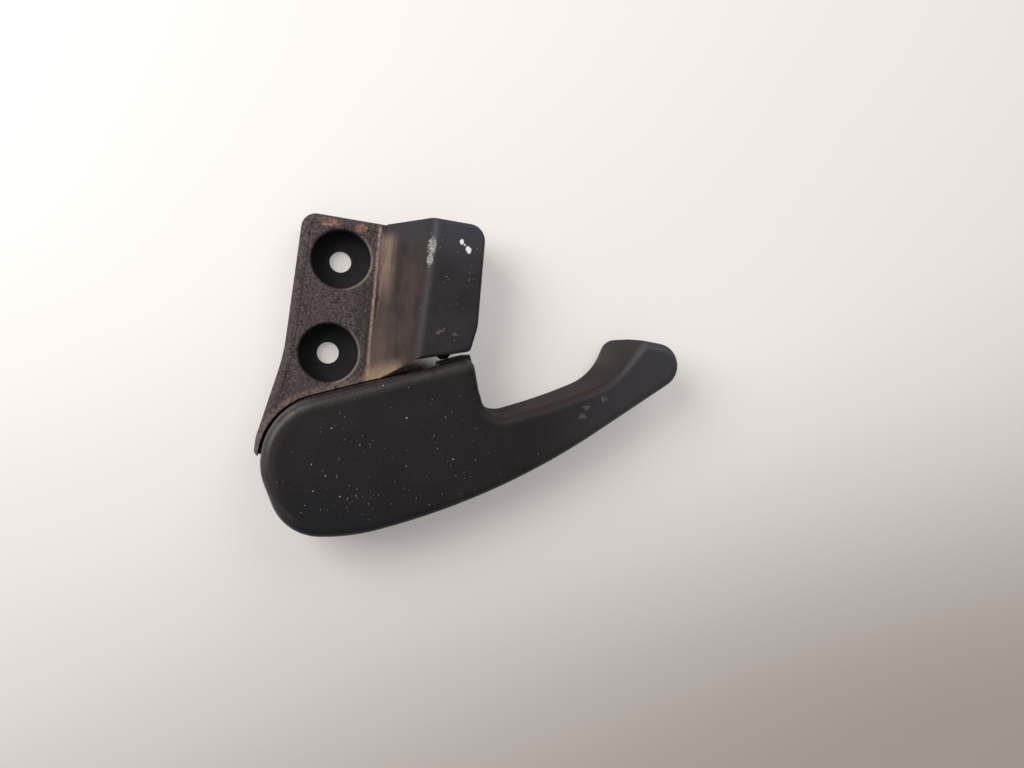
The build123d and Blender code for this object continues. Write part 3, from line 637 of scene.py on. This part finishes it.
# %% Chips, scuff and faint marks on the cover
WHITE_CHIPS = (((35.4, 24.7), (0.62, 0.90)), ((36.4, 23.9), (0.34, 0.30)),
               ((37.5, 22.9), (0.62, 0.85)), ((38.0, 22.3), (0.74, 0.95)))
FAINT_MARKS = ((32.8, -3.5), (31.9, -4.2), (37.2, -4.0))
for centre, size in WHITE_CHIPS:
    color = tint(tree, spot(tree, mm, (*centre, COVER_Z), (*size, 2.0), 0.34, 0.9), color, CHIP_WHITE)
scuff = math(tree, "MAXIMUM", spot(tree, mm, (26.5, 21.9, COVER_Z), (1.25, 2.6, 4.0), 0.45, 1.0),
             spot(tree, mm, (26.4, 18.0, COVER_Z), (0.95, 2.1, 4.0), 0.45, 1.0))
crumbled = ramp(tree, noise(tree, mm, 2.6, 3.0, 0.7), 0.42, 0.58)
color = tint(tree, times(tree, scuff, crumbled, 0.9), color, CHIP_CREAM)
for centre in FAINT_MARKS:
    mark = spot(tree, mm, (*centre, COVER_Z), (0.8, 0.5, 2.0), 0.95, 1.9)
    color = tint(tree, times(tree, mark, 0.24), color, DUST_PALE)

# %% [markdown]
# ## The cups and the shader
# The insides of the cups keep their black, because nothing rubs there. Only
# their lower right wall, which faces the lamp, is painted a little warmer and
# lighter, as painted light. A pale arc on the right of each rim, where its
# chamfer faces the lamp, is a painted highlight. The grain of the plate is a
# bump, since it is far too fine to be modelled, and it is left out in the cups.

# %% Black cups, with painted light on their lower right wall and a painted highlight on the rim
# Painted light: the lower right inner wall, which faces the lamp, is painted warmer and lighter.
cup_side_painted_light = band(tree, cup_angle, radians(-120), radians(-70), radians(0), radians(50))
cup_side_painted_light = times(tree, cup_side_painted_light, ramp(tree, cup_away, 4.5, 8.5), ramp(tree, broken, 0.3, 0.6, 0.5, 1.0))
color = tint(tree, in_cup, color, tint(tree, cup_side_painted_light, CUP_BLACK, CUP_WARM_PAINTED_LIGHT))
# Painted highlight: a pale arc where the rim's chamfer faces the lamp.
cup_rim_highlight_mask = times(tree, band(tree, cup_away, CUP_R - 0.1, CUP_R + 0.1, CUP_R + 0.5, CUP_R + 0.9), on_plate,
            band(tree, cup_angle, radians(-85), radians(-60), radians(35), radians(68)))
color = tint(tree, times(tree, cup_rim_highlight_mask, ramp(tree, broken, 0.25, 0.55, 0.35, 0.8)), color, CUP_RIM_PAINTED_HIGHLIGHT)
pale_specks = use(tree, specks, Vector=mm, Spacing=1.5, Share=0.22, Radius=0.12)
color = tint(tree, times(tree, pale_specks, on_plate, dry, 0.55), color, DUST_PALE)

# %% The bracket's shader
rough = plus(tree, blend_value(tree, cloudy, 0.44, 0.58), times(tree, on_plate, 0.18))
dull = times(tree, math(tree, "MAXIMUM", on_slope, in_cup), 0.22)
relief = plus(tree, times(tree, grainy, on_plate, dry), times(tree, noise(tree, mm, 1.8, 3.0), 0.12))
surface(tree, {"Base Color": color, "Roughness": plus(tree, rough, dull, clamp=True),
               "Specular IOR Level": 0.36, "Normal": bumped(tree, relief, 0.8, 0.20)})
print("bracket material:", len(tree.nodes), "nodes")

# %% [markdown]
# ## The lever's plastic
# The lever is a finer black. Hands have dulled the arm and the hook to a soft
# grey. Its left rim is painted lighter, as a painted highlight where the rounded
# edge faces the lamp, and the end of the hook gets painted light as well. The
# sloped finger wall is brown from skin and dust. The lower edge of the head stays
# the darkest. These are broad, soft changes of tone, so each is a slow ramp along
# the lever and no pattern.

# %% Colours of the lever
LEVER_DARK = plain(0.0085, 0.0056, 0.0060)
LEVER_WORN = plain(0.0185, 0.0130, 0.0133)
LEVER_DARKEST = plain(0.0040, 0.0040, 0.0055)
ARM_GREY = plain(0.0400, 0.0375, 0.0420)
FINGER_BROWN = plain(0.0290, 0.0185, 0.0155)
HOOK_FOOT_PAINTED_LIGHT = plain(0.1300, 0.1130, 0.1160)
HOOK_END_PAINTED_HIGHLIGHT = plain(0.0560, 0.0500, 0.0540)
EDGE_BROWN = plain(0.0520, 0.0420, 0.0340)
LEFT_RIM_PAINTED_HIGHLIGHT = plain(0.0620, 0.0540, 0.0560)
RIM_RED = plain(0.0360, 0.0220, 0.0190)
SPECK_PALE = plain(0.2000, 0.1800, 0.1400)

# %% Broad tones of the head and the arm
lever_material, tree = new_material("lever_plastic")
mm, x, y, z = position(tree)
looks = facing(tree)
up = looks["Z"]
cloudy = use(tree, dust, Vector=mm, Amount=0.45, Cloud_Size=11.0)
color = tint(tree, cloudy, LEVER_DARK, LEVER_WORN)
color = tint(tree, times(tree, ramp(tree, y, -48.0, -64.0), 0.7), color, LEVER_DARKEST)
arm = times(tree, ramp(tree, x, 60.0, 108.0), ramp(tree, up, 0.3, 0.8), 0.85)
color = tint(tree, arm, color, ARM_GREY)

# %% Finger wall and hook
finger_side = times(tree, ramp(tree, looks["Y"], 0.30, 0.70), ramp(tree, x, 44.0, 52.0))
color = tint(tree, times(tree, finger_side, 0.92), color, FINGER_BROWN)
# Painted light: the foot of the finger wall at the hook and the hook's rounded end are painted lighter, where
# a lit band runs along the tip.
hook_foot_painted_light = times(tree, finger_side, ramp(tree, x, 93.0, 98.0), ramp(tree, z, 17.0, 7.0), 0.8)
color = tint(tree, hook_foot_painted_light, color, HOOK_FOOT_PAINTED_LIGHT)
hook_end_painted_highlight = times(tree, ramp(tree, x, 93.0, 99.0), ramp(tree, looks["Y"], 0.05, 0.35),
                 ramp(tree, up, 0.2, 0.5))
color = tint(tree, hook_end_painted_highlight, color, HOOK_END_PAINTED_HIGHLIGHT)

# %% Worn edges of the head, and a painted highlight on its left rim
ROUND_START = LEVER_TOP_Z - LEVER_ROUND
edge_away, edge_across = head_distance(tree, x, y)
near_top = ramp(tree, z, ROUND_START - 0.5, ROUND_START + 1.0)
rubbed = use(tree, dust, Vector=mm, Amount=0.60, Cloud_Size=2.5)
haze = times(tree, band(tree, edge_away, 16.8, 18.4, 20.4, 21.6), near_top,
             ramp(tree, edge_across, 4.0, 14.0))
color = tint(tree, times(tree, haze, rubbed, 0.75), color, EDGE_BROWN)
# Painted highlight: the rounded left rim, which faces the lamp, is painted lighter, mottled by the rubbed
# dust.
left_rim_painted_highlight = times(tree, ramp(tree, edge_away, 17.4, 18.6), ramp(tree, x, 0.0, -10.0), near_top)
color = tint(tree, times(tree, left_rim_painted_highlight, ramp(tree, rubbed, 0.2, 0.8, 0.25, 0.75)), color, LEFT_RIM_PAINTED_HIGHLIGHT)
red_side = times(tree, band(tree, edge_away, 14.5, 16.5, 17.6, 19.0), ramp(tree, x, -4.0, -12.0), near_top)
color = tint(tree, times(tree, red_side, 0.5), color, RIM_RED)

# %% Small marks, specks and scratches
ARM_MARKS = ((82.6, -21.0), (81.6, -24.0), (88.0, -17.4))
for centre in ARM_MARKS:
    mark = spot(tree, mm, (*centre, LEVER_TOP_Z), (1.1, 0.8, 3.0), 0.95, 1.6)
    color = tint(tree, times(tree, mark, 0.20), color, DUST_PALE)
pale_specks = use(tree, specks, Vector=mm, Spacing=2.3, Share=0.30, Radius=0.20)
on_head = times(tree, ramp(tree, x, 66.0, 40.0), ramp(tree, up, 0.7, 0.95))
color = tint(tree, times(tree, pale_specks, on_head, 0.30), color, SPECK_PALE)
marks = use(tree, scratches, Vector=mm, Turn=-0.5, Density=0.4)
color = tint(tree, times(tree, marks, 0.10), color, DUST_PALE)

# %% The lever's shader
rough = plus(tree, blend_value(tree, cloudy, 0.40, 0.52), times(tree, marks, 0.12))
rough = plus(tree, rough, times(tree, finger_side, 0.40), clamp=True)
orange_peel = noise(tree, mm, 1.6, 2.0)
surface(tree, {"Base Color": color, "Roughness": rough, "Specular IOR Level": 0.32,
               "Normal": bumped(tree, orange_peel, 0.35, 0.06)})
print("lever material:", len(tree.nodes), "nodes")

# %% [markdown]
# ## Steel, rubber and dust
# The pivot's parts show from the back. They are zinc plated, with the fine rings
# that turning leaves and a few brown stains. The spring is darker, because it
# is oiled. The buffer is matt rubber with a grey bloom, and the crumbs are
# between brown and pale.

# %% Steel
def steel(name, clean, stained, gloss):
    """A metal with fine rings round Z and soft stains, which are rougher and less metallic."""
    material, tree = new_material(name)
    mm = position(tree)[0]
    turned = vector_math(tree, "MULTIPLY", mm, (0.5, 0.5, 6.0))
    stain = ramp(tree, noise(tree, mm, 0.35, 4.0), 0.45, 0.7)
    surface(tree, {"Base Color": tint(tree, stain, clean, stained),
                   "Roughness": blend_value(tree, stain, gloss, 0.55),
                   "Metallic": blend_value(tree, stain, 1.0, 0.6),
                   "Normal": bumped(tree, noise(tree, turned, 1.3, 3.0), 0.3, 0.05)})
    return material


steel_material = steel("bright_steel", plain(0.52, 0.50, 0.46), plain(0.24, 0.17, 0.11), 0.28)
spring_material = steel("spring_steel", plain(0.30, 0.29, 0.28), plain(0.13, 0.08, 0.05), 0.34)

# %% Rubber
RUBBER_BLACK = plain(0.018, 0.018, 0.019)
RUBBER_BLOOM = plain(0.050, 0.048, 0.047)
rubber_material, tree = new_material("buffer_rubber")
mm = position(tree)[0]
bloom = ramp(tree, noise(tree, mm, 0.8, 5.0, 0.6), 0.4, 0.7)
surface(tree, {"Base Color": tint(tree, bloom, RUBBER_BLACK, RUBBER_BLOOM),
               "Roughness": blend_value(tree, bloom, 0.6, 0.85),
               "Normal": bumped(tree, noise(tree, mm, 5.0, 2.0), 0.4, 0.05)})

# %% Crumb material
CRUMB_BROWN = plain(0.16, 0.14, 0.11)
CRUMB_PALE = plain(0.52, 0.50, 0.38)
crumb_material, tree = new_material("dust_crumb")
mm = position(tree)[0]
shade = ramp(tree, noise(tree, mm, 0.7, 2.0), 0.38, 0.62)
surface(tree, {"Base Color": tint(tree, shade, CRUMB_BROWN, CRUMB_PALE),
               "Roughness": blend_value(tree, shade, 0.9, 0.7),
               "Normal": bumped(tree, noise(tree, mm, 9.0, 2.0), 0.5, 0.05)})

# %% Materials on the pieces of the construction model
FINISH = {"bracket": bracket_material, "pull_lever": lever_material, "rest_buffer": rubber_material,
          "pivot_screw": steel_material, "pivot_sleeve": steel_material, "pivot_washer": steel_material,
          "return_spring": spring_material}
for name, material in FINISH.items():
    node = frame["nodes"][name]
    node.data.materials.clear()
    node.data.materials.append(material)
print("finished pieces:", sorted(FINISH))

# %% [markdown]
# ## The return spring
# A torsion spring is a round wire wound about two turns, with a straight leg at
# each end. One leg presses on the bracket and the other on the lever, so pulling
# the lever winds the coil up. The construction model has a six-sided wire. Here
# the wire is round: a path of points is worked out first, and a ring is carried
# along it.

# %% The wire's path
COIL_R = 9.0
WIRE_R = 0.7
COIL_PITCH = 1.8
COIL_TURN = radians(698.0)
COIL_START = radians(94.0)
COIL_LOW = 9.05
COIL_RISE = COIL_PITCH * COIL_TURN / (2 * pi)
LEG = 12.0
WIRE_SIDES = 14


def spring_path(steps=150, leg_steps=10):
    """Points along the wire: on the coil the angle falls evenly while the height rises evenly.

    The legs run on straight along the coil's direction at its two ends.
    """
    share = np.linspace(0.0, 1.0, steps)
    angle = COIL_START - COIL_TURN * share
    coil = np.stack([PIVOT_MM.x + COIL_R * np.cos(angle), PIVOT_MM.y + COIL_R * np.sin(angle),
                     COIL_LOW + COIL_RISE * share], axis=-1)
    slope = COIL_RISE / COIL_TURN
    run = np.stack([COIL_R * np.sin(angle), -COIL_R * np.cos(angle), np.full(steps, slope)], axis=-1)
    run /= np.linalg.norm(run, axis=-1, keepdims=True)
    out = np.linspace(LEG / leg_steps, LEG, leg_steps)[:, None]
    return np.vstack([coil[0] - run[0] * out[::-1], coil, coil[-1] + run[-1] * out])


# %% A ring carried along the path
def round_wire(name, path, radius, sides):
    """A closed tube: at each point of the path a ring lies square to it, and a fan closes each end."""
    ahead = np.gradient(path, axis=0)
    ahead /= np.linalg.norm(ahead, axis=-1, keepdims=True)
    side = np.cross(ahead, (0.0, 0.0, 1.0))
    side /= np.linalg.norm(side, axis=-1, keepdims=True)
    above = np.cross(side, ahead)
    turn = np.linspace(0.0, 2 * pi, sides, endpoint=False)[:, None]
    ring = side[:, None] * np.cos(turn) + above[:, None] * np.sin(turn)
    rings = path[:, None] + radius * ring
    points = np.vstack([rings.reshape(-1, 3), path[:1], path[-1:]])
    index = np.arange(len(path) * sides).reshape(len(path), sides)
    beside = np.roll(index, -1, axis=1)
    quads = np.stack([index[:-1], beside[:-1], beside[1:], index[1:]], axis=-1).reshape(-1, 4)
    first = np.stack([np.full(sides, index.size), beside[0], index[0]], axis=-1)
    last = np.stack([np.full(sides, index.size + 1), index[-1], beside[-1]], axis=-1)
    mesh = bpy.data.meshes.new(name)
    mesh.from_pydata(points * MM, [], quads.tolist() + first.tolist() + last.tolist())
    mesh.polygons.foreach_set("use_smooth", np.arange(len(mesh.polygons)) < len(quads))
    mesh.update()
    return mesh


# %% Spring
spring = place_object("round_spring", round_wire("round_spring", spring_path(), WIRE_R, WIRE_SIDES))
spring.data.materials.append(spring_material)
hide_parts("return_spring")
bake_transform(spring)
print("spring:", len(spring.data.polygons), "faces, coil height", round(COIL_RISE, 2), "mm")

# %% [markdown]
# ## Crumbs of dust
# Single grains catch the light on the dark lever. A bump would stay flat there,
# so each grain is a tiny solid with eight faces. A ray sent down from above
# finds the surface that it lies on, and a seed keeps the grains in their places.
# The ones on the lever ride with the lever when it is pulled.

# %% Crumb helpers
OCTAHEDRON = np.array([(1, 0, 0), (0, 1, 0), (-1, 0, 0), (0, -1, 0), (0, 0, 1), (0, 0, -1)], float)
OCTAHEDRON_FACES = np.array([(0, 1, 4), (1, 2, 4), (2, 3, 4), (3, 0, 4),
                             (1, 0, 5), (2, 1, 5), (3, 2, 5), (0, 3, 5)])
CRUMB_SINK = 0.35
DROP_FROM = 60.0
LOWEST = 9.0


def landed(node, places, flatness):
    """Where a ray going down at each place meets a face of the node that looks up enough."""
    tree = BVHTree.FromObject(frame["nodes"][node], bpy.context.evaluated_depsgraph_get())
    hits = []
    for px, py in places:
        point, normal, _, _ = tree.ray_cast(Vector((px, py, DROP_FROM)) * MM, Vector((0, 0, -1)))
        if point is not None and normal.z > flatness and point.z > LOWEST * MM:
            hits.append(point / MM)
    return np.array(hits)


def crumb_mesh(name, centres, radii, rng):
    """Eight-sided grains: each corner of an octahedron is moved in or out at random, then all are turned."""
    count = len(centres)
    stretch = rng.uniform(0.65, 1.25, (count, 6, 1))
    turn = rng.uniform(0, 2 * pi, count)[:, None]
    flat = rng.uniform(0.45, 0.85, count)
    shape = OCTAHEDRON[None] * stretch * radii[:, None, None]
    x = shape[..., 0] * np.cos(turn) - shape[..., 1] * np.sin(turn)
    y = shape[..., 0] * np.sin(turn) + shape[..., 1] * np.cos(turn)
    z = shape[..., 2] * flat[:, None] + (radii * CRUMB_SINK)[:, None]
    points = np.stack([x, y, z], axis=-1) + centres[:, None]
    faces = (OCTAHEDRON_FACES[None] + 6 * np.arange(count)[:, None, None]).reshape(-1, 3)
    mesh = bpy.data.meshes.new(name)
    mesh.from_pydata(points.reshape(-1, 3) * MM, [], faces.tolist())
    mesh.update()
    return mesh


# %% Crumbs on the lever
SEED = 41
BRIGHT_CRUMBS = ((13, -41.5), (16, -41), (26, -31.5), (42, -42.5), (49, -42), (17.5, -22.8), (4, -37.5),
                 (-0.5, -49), (4, -52), (7.5, -52), (1, -57), (35, -36))
rng = np.random.default_rng(SEED)
heap = rng.normal((14.0, -58.0), (4.5, 2.0), (46, 2))
spread = rng.uniform((-10.0, -66.0), (58.0, -22.0), (150, 2))
far_out = rng.uniform((58.0, -50.0), (100.0, -8.0), (22, 2))
centres = landed("pull_lever", np.vstack([BRIGHT_CRUMBS, heap, spread, far_out]), 0.85)
radii = rng.uniform(0.05, 0.16, len(centres))
radii[:len(BRIGHT_CRUMBS)] = rng.uniform(0.20, 0.31, len(BRIGHT_CRUMBS))
lever_crumbs = place_object("lever_dust_crumbs", crumb_mesh("lever_dust_crumbs", centres, radii, rng))
lever_crumbs.data.materials.append(crumb_material)
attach(lever_crumbs, "lever_body")
print("crumbs on the lever:", len(centres))

# %% Crumbs on the bracket
plate_spread = rng.uniform((-13.0, -32.0), (12.0, 27.0), (110, 2))
foot_heap = np.stack([rng.uniform(12.0, 23.0, 60), rng.normal(-16.5, 1.3, 60)], axis=-1)
cover_spread = rng.uniform((24.0, -10.0), (42.0, 28.0), (40, 2))
centres = landed("bracket", np.vstack([plate_spread, foot_heap, cover_spread]), 0.55)
radii = rng.uniform(0.05, 0.15, len(centres))
bracket_crumbs = place_object("bracket_dust_crumbs", crumb_mesh("bracket_dust_crumbs", centres, radii, rng))
bracket_crumbs.data.materials.append(crumb_material)
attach(bracket_crumbs, "bracket_body")
print("crumbs on the bracket:", len(centres))

# %% [markdown]
# ## Closing

# %% One more import
import json
